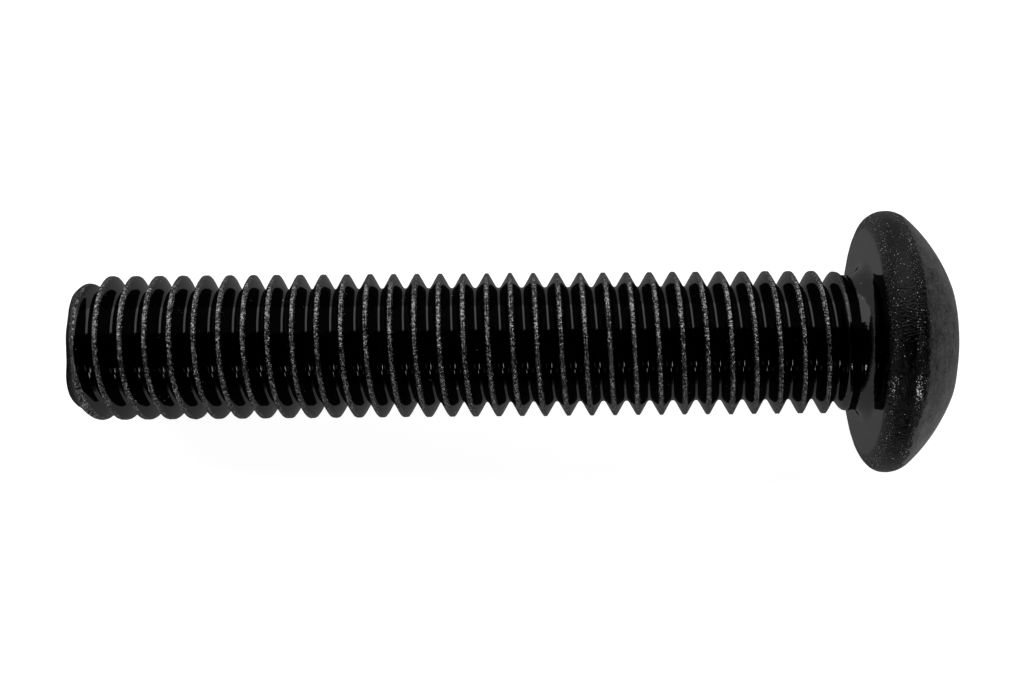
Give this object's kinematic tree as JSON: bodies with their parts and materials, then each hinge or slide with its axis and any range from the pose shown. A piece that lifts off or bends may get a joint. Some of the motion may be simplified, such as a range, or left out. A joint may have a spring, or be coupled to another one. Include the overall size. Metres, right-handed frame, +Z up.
{
  "type": "machine screw",
  "caption": "Black machine screw with a low domed head, a hexagon socket, a short filleted neck and a coarse right-hand thread down to a rounded end.",
  "frame": {"origin": "on the ground, under the middle of the screw's length, with the screw lying as it comes to rest", "axes": "+Z up; the axis runs from the tip at -X to the head at +X, rising 4.4 degrees toward the head; +Y across"},
  "size_m": [0.0296, 0.009, 0.009],
  "materials": {
    "black_steel": "glossy black oxide on rolled steel, rougher and greyer on the crests and round the rim"
  },
  "bodies": {
    "root": {"machine_screw": "black_steel"}
  },
  "joints": []
}
